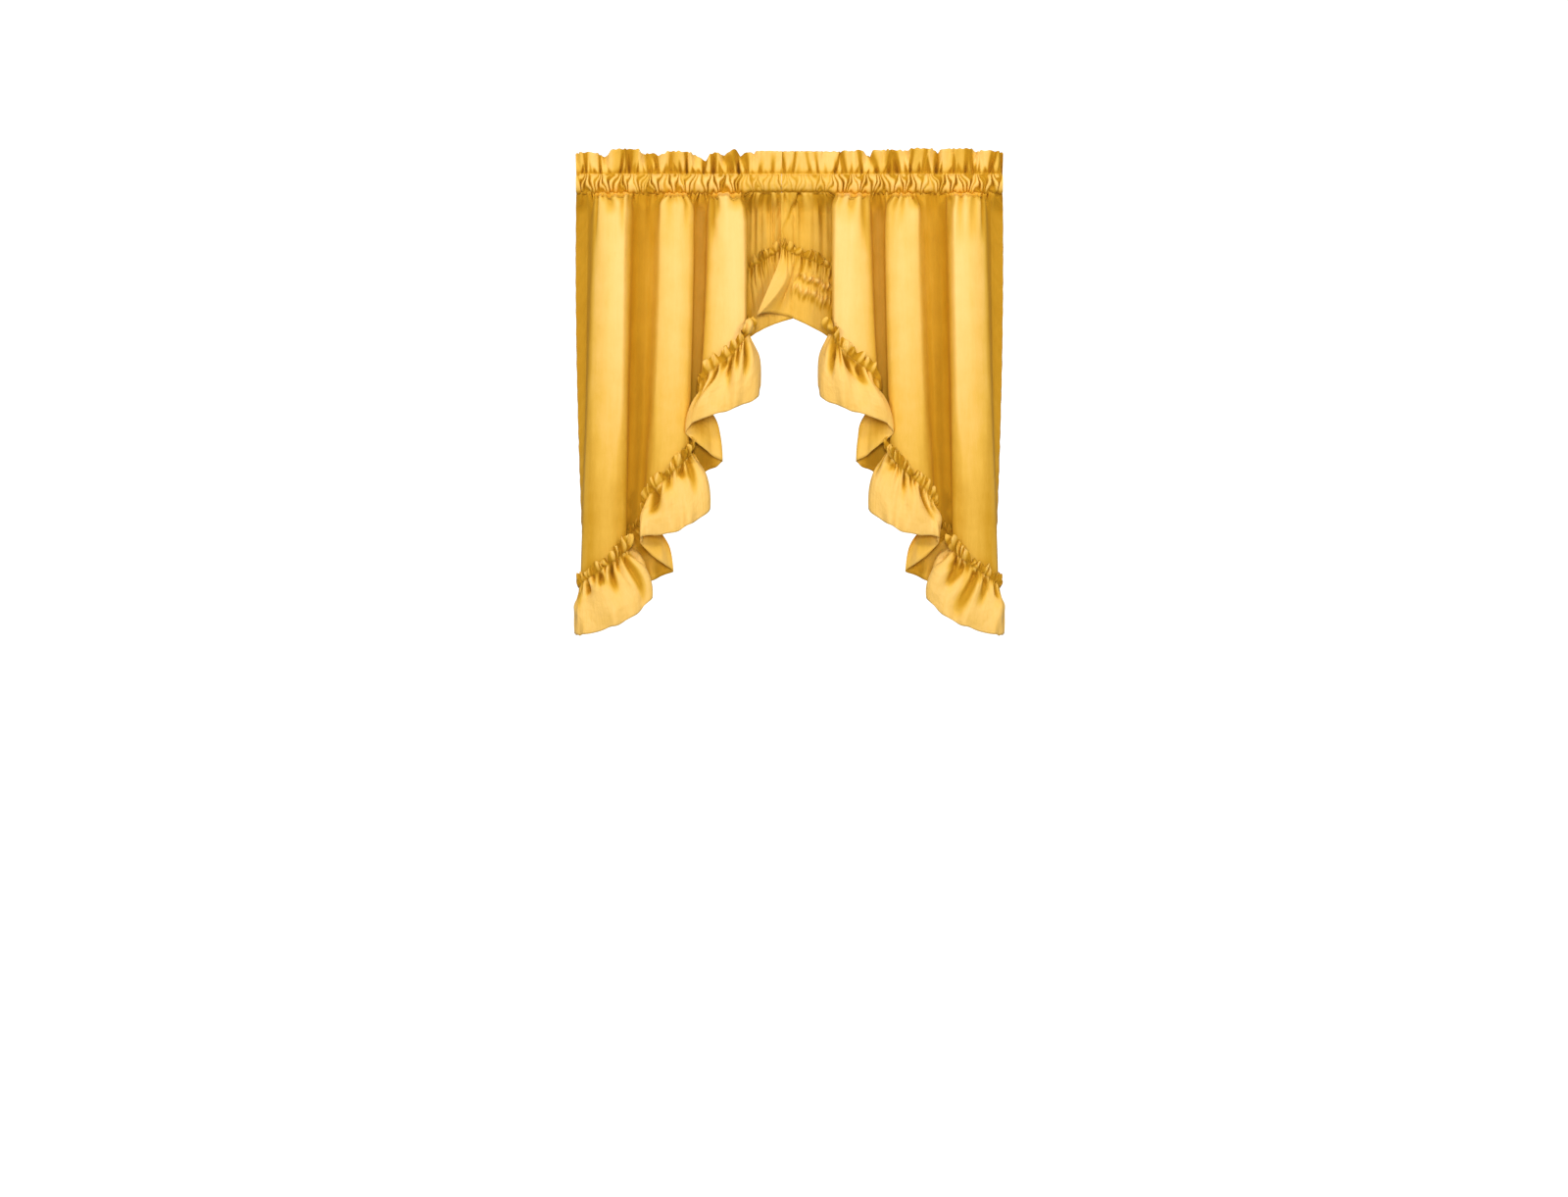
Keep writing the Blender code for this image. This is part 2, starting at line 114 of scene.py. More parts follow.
def smooth_through(knots, values):
    """A smooth curve through the values that doesn't swing past them."""
    knots, values = np.array(knots, float), np.array(values, float)
    gaps = np.diff(knots)
    slopes = np.diff(values) / gaps
    tangents = np.zeros(len(knots))
    tangents[0], tangents[-1] = slopes[0], slopes[-1]
    for i in range(1, len(slopes)):
        if slopes[i - 1] * slopes[i] > 0:
            near, far = 2 * gaps[i] + gaps[i - 1], gaps[i] + 2 * gaps[i - 1]
            tangents[i] = (near + far) / (near / slopes[i - 1] + far / slopes[i])

    def at(x):
        x = np.asarray(x, float)
        i = np.clip(np.searchsorted(knots, x) - 1, 0, len(gaps) - 1)
        t, gap = (x - knots[i]) / gaps[i], gaps[i]
        start = (1 + 2 * t) * (1 - t) ** 2 * values[i] + t * (1 - t) ** 2 * gap * tangents[i]
        return start + t * t * (3 - 2 * t) * values[i + 1] - t * t * (1 - t) * gap * tangents[i + 1]

    return at


def table_curves(rows, key):
    knots = [getattr(row, key) for row in rows]
    return {
        name: smooth_through(knots, [getattr(row, name) for row in rows])
        for name in rows[0]._fields
        if name != key
    }


def uneven_wave(x, pitch, offset=0.0):
    """A wave of about one fold a pitch, with folds of unlike width and depth, from -1 to 1."""
    turn = 2 * math.pi * np.asarray(x) / pitch + offset
    drift = 0.9 * np.sin(0.37 * turn + 1.3) + 0.5 * np.sin(0.61 * turn + 4.1)
    return np.sin(turn + drift) * (0.75 + 0.25 * np.sin(0.43 * turn + 2.2))


def hump(x, place, reach):
    """1 at the place, fading to 0 on both sides."""
    return np.exp(-(((x - place) / reach) ** 2))


Crease = namedtuple("Crease", "at width reach depth drift")
Creasing = namedtuple("Creasing", "pitch width reach depth drift", defaults=(0.0,))


def scatter_creases(creasing, seed, start, end):
    """Creases about a pitch apart, each of its own width, reach, depth and sideways drift."""
    rng = np.random.default_rng(seed)
    at, found = start + creasing.pitch * rng.uniform(0.2, 0.8), []
    while at < end:
        found.append(Crease(
            at,
            creasing.width * rng.uniform(0.7, 1.4),
            creasing.reach * rng.uniform(0.45, 1.6),
            creasing.depth * rng.uniform(0.35, 1.3),
            creasing.drift * rng.uniform(-1.0, 1.0),
        ))
        at += creasing.pitch * rng.uniform(0.55, 1.5)
    return found


def crease_depth(creases, x, along, opening=1.6):
    """How far the cloth sinks into its creases, which open out and fade with the distance along."""
    total = np.zeros(np.broadcast(x, along).shape)
    for crease in creases:
        run = np.clip(along / crease.reach, 0.0, 1.0)
        width = crease.width * (1.0 + opening * run)
        aside = (x - crease.at - crease.drift * run) / width
        total += crease.depth * np.exp(-aside * aside) * (1.0 - run) ** 1.5 * (1 + 1.5 * run)
    return total


class Half:
    """The hanging cloth of one half, as arrays of points (out, fwd, z): the distances from the
    swag's middle and from the pocket's axis towards the front, and the height."""

    def __init__(self, name):
        self.side = -1.0 if name == "left" else 1.0
        self.inner = INNER_EDGES[name]
        self.lines = table_curves(PANEL_LINES, "cloth")

    def place(self, points):
        return points * np.array((self.side, -1.0, 1.0))

    def panel_points(self, cloth, z):
        """The broad shape of the panel at distances along the heading and at heights."""
        lines, edge, top = self.lines, PANEL_LINES[0], POCKET_BOTTOM
        fall = (top - z) / (top - lines["seam"](cloth))
        settled = smoothstep((top - z + 0.003) / 0.034)
        centre = 1.0 - smoothstep(cloth / RECESS_END)
        pocket_out = lines["pocket_out"](cloth) + (self.inner.heading - edge.pocket_out) * centre
        bend = 1.6 - 0.6 * smoothstep((cloth - 0.50) / 0.08)
        bend = bend + 1.4 * smoothstep((cloth - 0.69) / 0.03)
        out = mix(lines["top_out"](cloth), lines["low_out"](cloth), np.maximum(fall, 0.0) ** bend)
        softened = 0.020 * smoothstep((top - z - 0.36) / 0.30)
        fwd = sum(
            mix(lines["top_fwd"](cloth + aside), lines["low_fwd"](cloth + aside), fall)
            for aside in (-softened, 0.0, softened)
        ) / 3
        deep = smoothstep((top - z - 0.001) / mix(0.040, 0.012, smoothstep(fwd / 0.030)))
        out = out + (self.inner.out - edge.top_out) * centre
        fwd = fwd + (self.inner.fwd - edge.top_fwd) * centre
        pleated = smoothstep(cloth / 0.012) * (1.0 - smoothstep((cloth - 0.080) / 0.020))
        pleat = PLEAT_DEPTH * settled * (1.0 - 0.6 * smoothstep(fall)) * pleated
        pleat = pleat * uneven_wave(cloth, PLEAT_PITCH, 0.8)
        sway = SWAY * np.sin(9.0 * z + 31.0 * cloth) * lines["loose"](cloth) * settled
        return np.stack(np.broadcast_arrays(
            mix(pocket_out, out, settled) + sway,
            mix(IN_POCKET, fwd, deep) + pleat,
            z,
        ), axis=-1)

    def way_out(self, cloth, z):
        """The level direction out of the panel's front."""
        run = self.panel_points(cloth + 0.002, z) - self.panel_points(cloth - 0.002, z)
        out = np.stack((-run[..., 1], run[..., 0], np.zeros(run.shape[:-1])), axis=-1)
        return out / np.linalg.norm(out, axis=-1, keepdims=True)


def surface_normals(points, towards):
    """Unit normals of a grid of points, turned to the side that towards gives for the first row."""
    normals = np.cross(np.gradient(points, axis=1), np.gradient(points, axis=0))
    normals /= np.linalg.norm(normals, axis=-1, keepdims=True) + 1e-12
    if np.sum(normals[0] * towards) < 0:
        normals = -normals
    return normals


def cloth_sheet(name, points, across, down, shaded):
    """A sheet of cloth through a grid of points, with its flat measures in metres as its UV map.
    shaded is the shade painted into its colour at each point, from 0 on a lit fold to 1 deep
    inside."""
    rows, columns = points.shape[:2]
    index = np.arange(rows * columns).reshape(rows, columns)
    corners = (index[:-1, :-1], index[:-1, 1:], index[1:, 1:], index[1:, :-1])
    faces = np.stack([c.ravel() for c in corners], axis=-1)
    mesh = bpy.data.meshes.new(name)
    mesh.from_pydata(points.reshape(-1, 3).tolist(), [], faces.tolist())
    flat = np.stack(np.broadcast_arrays(across, down), axis=-1).reshape(-1, 2)
    flat = flat[faces.ravel()].ravel().astype(np.float32)
    mesh.uv_layers.new(name="cloth").data.foreach_set("uv", flat)
    # Painted shade: stored per point, it darkens the satin's colour in folds, creases and recesses.
    unfaded = np.broadcast_to(np.clip(shaded, 0.0, 1.0), (rows, columns)).ravel().astype(np.float32)
    mesh.attributes.new("unfaded", "FLOAT", "POINT").data.foreach_set("value", unfaded)
    mesh.shade_smooth()
    sheet = bpy.data.objects.new(name, mesh)
    bpy.context.scene.collection.objects.link(sheet)
    body = sheet.modifiers.new("cloth", "SOLIDIFY")
    body.thickness = CLOTH_THICKNESS
    body.offset = 0.0
    return sheet


class Value:
    """A shader socket on which Python's own arithmetic adds Math nodes."""

    def __init__(self, shader, socket):
        self.shader, self.socket = shader, socket

    def math(self, operation, *others):
        settings = {"operation": operation}
        return self.shader.node("ShaderNodeMath", settings, dict(enumerate((self, *others))))

    def __add__(self, other):
        return self.math("ADD", other)

    def __sub__(self, other):
        return self.math("SUBTRACT", other)

    def __rsub__(self, other):
        return self.shader.node("ShaderNodeMath", {"operation": "SUBTRACT"}, {0: other, 1: self})

    def __mul__(self, other):
        return self.math("MULTIPLY", other)

    __radd__, __rmul__ = __add__, __mul__

    def wave(self, pitch):
        """From 0 to 1 and back in each pitch."""
        return (self * (2 * math.pi / pitch)).math("SINE") * 0.5 + 0.5

    def near(self, place, reach):
        """1 at the place, falling to 0 at the reach on both sides."""
        gone = (self - place).math("ABSOLUTE") * (1.0 / reach)
        return (1.0 - gone).math("MAXIMUM", 0.0)


class Shader:
    """The node tree of one material."""

    def __init__(self, name):
        self.material = bpy.data.materials.new(name)
        self.material.use_nodes = True
        self.tree = self.material.node_tree
        self.surface = self.tree.nodes["Principled BSDF"]

    def node(self, kind, settings, inputs, output=0):
        """Adds a node. A colour ramp's stops, pairs of a place and a colour, are a setting too."""
        node = self.tree.nodes.new(kind)
        for key, value in settings.items():
            if key != "stops":
                setattr(node, key, value)
                continue
            elements = node.color_ramp.elements
            elements[0].position, elements[1].position = value[0][0], value[-1][0]
            for place, _ in value[1:-1]:
                elements.new(place)
            for element, (_, colour) in zip(elements, value):
                element.color = colour
        for key, value in inputs.items():
            self.feed(node.inputs[key], value)
        return Value(self, node.outputs[output])

    def feed(self, socket, value):
        if isinstance(value, Value):
            self.tree.links.new(value.socket, socket)
        else:
            socket.default_value = value


# The satin's colours, from painted deep shade (0) to the lit gold face (1); the cloth's random slub
# and cloud also move along this ramp.
SATIN_SHADE_RAMP = (
    (0.00, (0.46, 0.205, 0.000, 1.0)),
    (0.35, (0.61, 0.305, 0.012, 1.0)),
    (0.65, (0.80, 0.455, 0.055, 1.0)),
    (1.00, (0.95, 0.590, 0.165, 1.0)),
)
THREAD = (0.84, 0.50, 0.10, 1.0)
THREAD_PITCH = 0.00075
STITCH_PITCH = 0.0030
STITCH_WIDTH = 0.0009
STITCH_SINK = 0.0004


def satin(name, crumpled, rows=(), columns=()):
    """Satin-faced cloth: threads both ways, a soft sheen, crumples of the given height, and machine
    stitching at the given rows (measures down the cloth) and columns (measures across it). Its
    colour carries painted shade, read from a point attribute: darker and more orange where the
    attribute is high, lighter and paler gold where it is low."""
    shader = Shader(name)
    uv = shader.node("ShaderNodeUVMap", {"uv_map": "cloth"}, {})
    across = shader.node("ShaderNodeSeparateXYZ", {}, {0: uv}, "X")
    down = shader.node("ShaderNodeSeparateXYZ", {}, {0: uv}, "Y")
    stretched = shader.node("ShaderNodeCombineXYZ", {}, {0: across * 900.0, 1: down * 60.0})
    slub = shader.node("ShaderNodeTexNoise", {}, {"Vector": stretched, "Scale": 1.0, "Detail": 2.0})
    cloudy = shader.node("ShaderNodeTexNoise", {}, {"Vector": uv, "Scale": 22.0, "Detail": 4.0})
    weave = across.wave(THREAD_PITCH) * down.wave(THREAD_PITCH)
    crumple = shader.node("ShaderNodeTexNoise", {}, {"Vector": uv, "Scale": 75.0, "Detail": 3.0})
    drawn = shader.node("ShaderNodeCombineXYZ", {}, {0: across * 150.0, 1: down * 11.0})
    streaks = shader.node("ShaderNodeTexNoise", {}, {"Vector": drawn, "Scale": 1.0, "Detail": 2.0})

    seams = [down.near(place, STITCH_WIDTH) * across.wave(STITCH_PITCH) for place in rows]
    seams += [across.near(place, STITCH_WIDTH) * down.wave(STITCH_PITCH) for place in columns]
    sewn = seams[0]
    for seam in seams[1:]:
        sewn = sewn.math("MAXIMUM", seam)

    # Painted shade: this point attribute darkens the colour in folds, creases and recesses, while
    # slub, cloud, weave and streaks add the cloth's own uneven colour.
    unfaded = shader.node("ShaderNodeAttribute", {"attribute_name": "unfaded"}, {}, "Fac")
    uneven = cloudy * 0.24 + slub * 0.14 + weave * 0.06 + streaks * 0.16 - 0.12
    painted_light_and_slub = (1.0 - unfaded) * 0.80 + uneven
    cloth = shader.node("ShaderNodeValToRGB", {"stops": SATIN_SHADE_RAMP}, {0: painted_light_and_slub})
    layers = {0: sewn * 0.3, 6: cloth, 7: THREAD}
    colour = shader.node("ShaderNodeMix", {"data_type": "RGBA"}, layers, 2)
    height = weave * 0.00004 + slub * 0.00003 + (crumple + streaks * 0.6) * crumpled
    height = height - sewn * STITCH_SINK
    bump = shader.node("ShaderNodeBump", {}, {"Strength": 0.7, "Distance": 1.0, "Height": height})
    shader.feed(shader.surface.inputs["Base Color"], colour)
    # Where shade is painted, the cloth is also made rougher, so its sheen is duller there.
    roughness = cloudy * 0.10 + slub * 0.06 + unfaded * 0.45 + 0.31
    shader.feed(shader.surface.inputs["Roughness"], roughness)
    shader.feed(shader.surface.inputs["Normal"], bump)
    shader.surface.inputs["Specular IOR Level"].default_value = 0.22
    shader.surface.inputs["Sheen Weight"].default_value = 0.03
    shader.surface.inputs["Sheen Roughness"].default_value = 0.45
    shader.surface.inputs["Sheen Tint"].default_value = (1.0, 0.80, 0.45, 1.0)
    return shader.material


SIDE_HEM = 0.028
HEM_STEP = 0.0012
PANEL_TOP = POCKET_BOTTOM + 0.0022
PANEL_COLUMNS = 340
PANEL_ROWS = 100
PANEL_SEEDS = {"left": 5, "right": 9}
PANEL_TUCKS = Creasing(pitch=0.0125, width=0.0024, reach=0.030, depth=0.0046, drift=0.003)
PANEL_GATHERS = Creasing(pitch=0.026, width=0.0044, reach=0.085, depth=0.0060, drift=0.008)
PANEL_DRAGS = Creasing(pitch=0.060, width=0.0090, reach=0.340, depth=0.0032, drift=0.024)
DIAGONAL_CREASE = Crease(at=0.040, width=0.0016, reach=0.100, depth=0.0100, drift=-0.046)
panel_cloth = satin("panel_satin", 0.0007, columns=(SIDE_HEM, PANEL_WIDTH - SIDE_HEM))
halves = {name: Half(name) for name in ("left", "right")}
for name, half in halves.items():
    cloth = np.linspace(0.0, PANEL_WIDTH, PANEL_COLUMNS)[None, :]
    share = np.linspace(0.0, 1.0, PANEL_ROWS)[:, None] ** 1.35
    height = mix(PANEL_TOP, half.lines["seam"](cloth) - 0.0005, share)
    points = half.panel_points(cloth, height)
    normals = surface_normals(points, np.array((0.0, 1.0, 0.0)))
    loose = half.lines["loose"](cloth)
    below = POCKET_BOTTOM - height
    seed = PANEL_SEEDS[name]
    free = mix(1.0, np.minimum(loose + 0.15, 1.0), smoothstep(below / 0.045))
    free = free * smoothstep((below + 0.001) / 0.007)
    tucks = scatter_creases(PANEL_TUCKS, seed, 0.0, PANEL_WIDTH)
    gathers = scatter_creases(PANEL_GATHERS, seed + 1, 0.0, PANEL_WIDTH)
    drags = scatter_creases(PANEL_DRAGS, seed + 2, 0.0, PANEL_WIDTH)
    if name == "right":
        gathers.append(DIAGONAL_CREASE)
    sharp = (crease_depth(tucks, cloth, below) + crease_depth(gathers, cloth, below)) * free
    sunk = sharp + crease_depth(drags, cloth, below) * loose * smoothstep(below / 0.03)
    above_seam = smoothstep((height - half.lines["seam"](cloth)) / 0.05)
    from_edge = np.minimum(cloth, PANEL_WIDTH - cloth)
    doubled = HEM_STEP * smoothstep((SIDE_HEM + 0.001 - from_edge) / 0.002)
    puckered = 1.0 + 0.7 * uneven_wave(height + 0.8 * cloth, 0.034, 160.0 * cloth)
    doubled = doubled * puckered * smoothstep(below / 0.02)
    points = points + normals * (doubled - sunk * above_seam)[..., None]
    # Painted shade in the tucks and gathers, and a painted highlight on the doubled side hems.
    crease_shade = np.minimum(sharp * above_seam / 0.0080, 0.6) - 35.0 * np.minimum(doubled, 0.002)
    # Painted shade in a thin band just under the pocket.
    shade_under_pocket = 0.60 * (1.0 - smoothstep(below / 0.0035))
    # Painted shade growing down the lower part of the panel.
    low = smoothstep((below - 0.15) / 0.55)
    spread = 0.034 * smoothstep((below - 0.36) / 0.30)
    steps = (-1.0, -0.5, 0.0, 0.5, 1.0)
    # Each line's painted shade, blurred sideways low down, eased off low on the outer fold and
    # faded out under the pocket.
    kept = sum(half.lines["kept"](cloth + spread * step) for step in steps) / len(steps)
    kept = kept * (1.0 - 0.6 * low * smoothstep((cloth - 0.64) / 0.02))
    kept = kept * smoothstep((below + 0.004) / 0.012)
    # Painted shade along the seam, where the ruffle overhangs.
    shade_by_seam = (0.10 + 0.35 * kept) * (1.0 - above_seam)
    shaded = kept + crease_shade + shade_under_pocket + 0.36 * low + shade_by_seam
    panel = cloth_sheet(f"{name}_panel_cloth", half.place(points), cloth, -height, shaded)
    panel.data.materials.append(panel_cloth)
    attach(panel, "root")
    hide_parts(f"{name}_panel")

# ---------------------------------------------------------------------------------------------
# Headings. The top of each half is doubled over and stitched along two lines, with a pocket
# between them and a frill that stands up in pleats above. The cloth is puckered where the pocket
# is pushed together, and one strip of cloth runs up the front, over the frill and down the back.

POCKET_HALF_HEIGHT = 0.0172
POCKET_HALF_DEPTH = 0.0146
SWAG_HALF_WIDTH = 0.4248
HEADING_COLUMNS = 560

# The frill's upper edge: how high it rises and how far it leans to the front.
Crest = namedtuple("Crest", "out rise fwd")
CRESTS = {
    "left": (
        Crest(0.000, 0.0615, 0.007),
        Crest(0.050, 0.0625, 0.010),
        Crest(0.064, 0.0620, 0.009),
        Crest(0.073, 0.0565, 0.002),
        Crest(0.083, 0.0605, 0.008),
        Crest(0.095, 0.0535, -0.006),
        Crest(0.112, 0.0645, 0.011),
        Crest(0.132, 0.0550, -0.006),
        Crest(0.142, 0.0605, 0.006),
        Crest(0.156, 0.0570, 0.009),
        Crest(0.163, 0.0540, 0.004),
        Crest(0.170, 0.0430, -0.009),
        Crest(0.178, 0.0515, -0.004),
        Crest(0.200, 0.0605, 0.006),
        Crest(0.226, 0.0615, 0.012),
        Crest(0.240, 0.0620, 0.010),
        Crest(0.259, 0.0545, 0.001),
        Crest(0.269, 0.0605, -0.010),
        Crest(0.288, 0.0580, -0.004),
        Crest(0.308, 0.0660, 0.013),
        Crest(0.337, 0.0665, 0.014),
        Crest(0.353, 0.0640, 0.010),
        Crest(0.362, 0.0525, 0.000),
        Crest(0.376, 0.0550, -0.007),
        Crest(0.396, 0.0605, 0.008),
        Crest(0.425, 0.0585, 0.000),
    ),
    "right": (
        Crest(-0.020, 0.0620, 0.007),
        Crest(0.020, 0.0620, 0.010),
        Crest(0.060, 0.0620, 0.006),
        Crest(0.090, 0.0620, 0.001),
        Crest(0.120, 0.0625, 0.008),
        Crest(0.142, 0.0640, 0.011),
        Crest(0.152, 0.0560, 0.000),
        Crest(0.162, 0.0530, -0.007),
        Crest(0.171, 0.0635, 0.008),
        Crest(0.205, 0.0650, 0.012),
        Crest(0.228, 0.0640, 0.000),
        Crest(0.252, 0.0675, 0.012),
        Crest(0.278, 0.0675, 0.010),
        Crest(0.297, 0.0600, -0.008),
        Crest(0.310, 0.0670, 0.010),
        Crest(0.356, 0.0670, 0.013),
        Crest(0.374, 0.0620, -0.004),
        Crest(0.392, 0.0640, 0.009),
        Crest(0.425, 0.0600, 0.000),
    ),
}
FRILL_LAYERS = 0.0008
STANDING_FRILL = 0.046
FRILL_PUFF = 0.0042
FRILL_FLUTTER = 0.0050
FRILL_TILT = 0.004
POCKET_SWELL = 0.0016
POCKET_SLACK = 0.0030
HEADING_LENGTH = 0.19
HEADING_STITCHES = (0.002, 0.047, 0.142, 0.188)
HEADING_FULLNESS = 1.75
HEADING_SEEDS = {"left": 21, "right": 33}
POCKET_PUCKERS = Creasing(pitch=0.0095, width=0.0020, reach=1.0, depth=0.0085)
FRILL_TUCKS = Creasing(pitch=0.0125, width=0.0036, reach=0.024, depth=0.0100, drift=0.007)
FRILL_PLEATS = Creasing(pitch=0.0270, width=0.0026, reach=0.070, depth=0.0160, drift=0.018)
pocket_turns = np.linspace(0.97, 0.06, 18)
frill_climbs = np.linspace(0.0, 1.0, 16)[1:]
heading_cloth = satin("heading_satin", 0.0020, rows=HEADING_STITCHES)

for name, half in halves.items():
    out = np.linspace(half.inner.heading, SWAG_HALF_WIDTH, HEADING_COLUMNS)
    crests = table_curves(CRESTS[name], "out")
    rise, lean = crests["rise"](out), crests["fwd"](out)
    seed = HEADING_SEEDS[name]
    full = 0.35 + 0.65 * smoothstep((out - 0.070) / 0.030)
    puckers = scatter_creases(POCKET_PUCKERS, seed, -0.02, SWAG_HALF_WIDTH)
    tucks = scatter_creases(FRILL_TUCKS, seed + 1, -0.02, SWAG_HALF_WIDTH)
    pleats = scatter_creases(FRILL_PLEATS, seed + 2, -0.02, SWAG_HALF_WIDTH)
    # Painted shade at the outer end of the heading.
    end_shade = 0.30 * smoothstep((out - 0.400) / 0.015)
    rows, shaded = [], []
    for turn in pocket_turns:
        angle = math.pi * turn
        slant = 0.010 * math.cos(angle) * uneven_wave(out, 0.031) + 0.002 * math.sin(3 * angle)
        sunk = crease_depth(puckers, out + slant, 0.0) * full * math.sin(angle) ** 0.4
        swell = POCKET_SWELL + 0.0014 * uneven_wave(out, 0.019) - sunk
        fwd = (POCKET_HALF_DEPTH + swell) * math.sin(angle)
        # Painted shade on the pocket's underside, in its puckers and on its smooth middle stretch.
        underside_shade = 0.80 * smoothstep((turn - 0.68) / 0.25)
        puckered = np.minimum(sunk / 0.0045, 1.0) + 0.25 * (1.0 - full)
        shaded.append(0.05 + underside_shade + puckered + 0.5 * end_shade)
        slack = POCKET_SLACK * (1.0 + uneven_wave(out, 0.0145, 1.7)) * full
        slack = slack * smoothstep((turn - 0.55) / 0.40)
        z = POCKET_HALF_HEIGHT * math.cos(angle) - slack
        rows.append(np.stack((out, fwd, z), axis=-1))
    for climb in frill_climbs:
        height = climb * STANDING_FRILL
        pleat = (crease_depth(pleats, out, height) + crease_depth(tucks, out, height, -0.7)) * full
        flutter = FRILL_FLUTTER * uneven_wave(out, 0.027, 0.5) * climb * full
        sewn = smoothstep(climb / 0.14)
        fwd = lean * climb**1.4 + flutter + (FRILL_PUFF - pleat) * sewn * (1.0 - 0.6 * climb)
        # Painted shade in the frill's pleats, where it turns back, where it leans out over the
        # pocket, and in a thin line at its foot.
        turned_back = smoothstep(-(lean * climb + flutter) / 0.012)
        overhang_shade = 0.4 * smoothstep((lean - 0.009) / 0.004)
        fold_shade = np.clip(pleat / 0.005, 0.0, 1.0) + 0.6 * turned_back
        shaded.append(0.08 + fold_shade + 0.8 * (1 - climb) ** 6 + overhang_shade + end_shade)
        tilt = FRILL_TILT * climb * uneven_wave(out, 0.045, 1.0)
        z = mix(POCKET_HALF_HEIGHT, rise + 0.0014 * uneven_wave(out, 0.012) * full, climb)
        rows.append(np.stack((out + tilt, fwd + FRILL_LAYERS, z), axis=-1))
    front, shaded = np.array(rows), np.array(shaded)
    pocket_end = len(pocket_turns) - 1
    back_frill = front[:pocket_end:-1] - np.array((0.0, 2 * FRILL_LAYERS, 0.0))
    back_pocket = front[pocket_end::-1] * np.array((1.0, -1.0, 1.0))
    top_edge = (front[-1:] + back_frill[:1]) / 2 + np.array((0.0, 0.0, 0.0006))
    strip = np.concatenate((front, top_edge, back_frill, back_pocket))
    # The back of the heading gets an even painted shade.
    shaded = np.concatenate((shaded, shaded[-1:], 0 * shaded[::-1] + 0.4))
    across = out[None, :] * HEADING_FULLNESS
    down = np.linspace(0.0, HEADING_LENGTH, len(strip))[:, None]
    heading = cloth_sheet(f"{name}_heading_cloth", half.place(strip), across, down, shaded)
    heading.data.materials.append(heading_cloth)
    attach(heading, "root")
    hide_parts(f"{name}_heading")

# ---------------------------------------------------------------------------------------------
# Ruffles. A strip of the same cloth about twice as long as the slanted edge is gathered along a
# line near its top and sewn down there, so a small crinkled frill stands above the stitching and
# the rest falls in lobes and cascades to a narrow rolled hem.

# Where the ruffle's lower hem hangs, at distances along the panel's cloth, and how far sideways
# the ruffle leaves its seam and arrives at the hem.
Hem = namedtuple("Hem", "cloth out fwd z leave arrive", defaults=(0.0, 0.0))
CENTRE_HEM = {
    "left": (
        Hem(0.000, -0.012, -0.027, -0.266),
        Hem(0.045, 0.034, -0.024, -0.281),
    ),
    "right": (
        Hem(0.000, -0.065, 0.004, -0.264, 0.000, 0.030),
        Hem(0.013, -0.061, 0.006, -0.262, 0.000, 0.070),
        Hem(0.021, -0.040, -0.008, -0.258, 0.000, 0.050),
        Hem(0.033, -0.010, -0.022, -0.261),
        Hem(0.050, 0.014, -0.018, -0.271),
    ),
}
HEM_LINES = (
    Hem(0.095, 0.076, -0.022, -0.303),
    Hem(0.128, 0.110, -0.022, -0.330),
    Hem(0.150, 0.114, -0.008, -0.352),
    Hem(0.178, 0.080, 0.002, -0.386),
    Hem(0.196, 0.055, 0.017, -0.408),
    Hem(0.207, 0.064, 0.034, -0.427),
    Hem(0.220, 0.085, 0.048, -0.441),
    Hem(0.236, 0.112, 0.055, -0.452),
    Hem(0.252, 0.146, 0.055, -0.463),
    Hem(0.269, 0.196, 0.051, -0.482),
    Hem(0.281, 0.204, 0.036, -0.498),
    Hem(0.300, 0.156, 0.018, -0.540, -0.020),
    Hem(0.315, 0.135, 0.002, -0.556, -0.036),
    Hem(0.334, 0.168, -0.014, -0.576, -0.022),
    Hem(0.350, 0.190, -0.008, -0.596),
    Hem(0.368, 0.184, 0.010, -0.624),
    Hem(0.386, 0.157, 0.026, -0.644),
    Hem(0.396, 0.162, 0.038, -0.656),
    Hem(0.408, 0.179, 0.047, -0.669),
    Hem(0.422, 0.205, 0.053, -0.685),
    Hem(0.438, 0.238, 0.054, -0.699),
    Hem(0.466, 0.292, 0.050, -0.705),
    Hem(0.479, 0.297, 0.036, -0.714),
    Hem(0.498, 0.252, 0.020, -0.758, -0.035),
    Hem(0.513, 0.231, 0.006, -0.771, -0.058),
    Hem(0.530, 0.262, -0.006, -0.786, -0.035),
    Hem(0.545, 0.286, 0.002, -0.797),
    Hem(0.560, 0.286, 0.018, -0.808),
    Hem(0.576, 0.275, 0.036, -0.822),
    Hem(0.590, 0.289, 0.049, -0.846),
    Hem(0.624, 0.352, 0.055, -0.884),
    Hem(0.660, 0.416, 0.044, -0.900),
    Hem(0.682, 0.424, 0.020, -0.898),
    Hem(0.732, 0.410, -0.026, -0.894),
)
RUFFLE_LEAVE = 0.034
RUFFLE_HANG = 0.045
RUFFLE_PUFF = 0.009
SEWN_CLEAR = 0.0014
RUFFLE_COLUMNS = 900
RUFFLE_DEPTH = 0.125
FRILL_HEIGHT = 0.016
SMALL_FRILL_PUFF = 0.0100
LOBE_PUFF = 0.016
BILLOW = 0.0060
LIP = 0.0042
TUCK_HEIGHT = 0.0058
RUFFLE_FULLNESS = 1.9
RUFFLE_SEEDS = {"left": 41, "right": 57}
RUFFLE_GATHERS = Creasing(pitch=0.0080, width=0.0016, reach=0.40, depth=0.0085, drift=0.006)
RUFFLE_FOLDS = Creasing(pitch=0.0165, width=0.0028, reach=0.74, depth=0.0165, drift=0.014)
WIDE_NIPS = Creasing(pitch=0.0190, width=0.0021, reach=1.0, depth=0.0125)
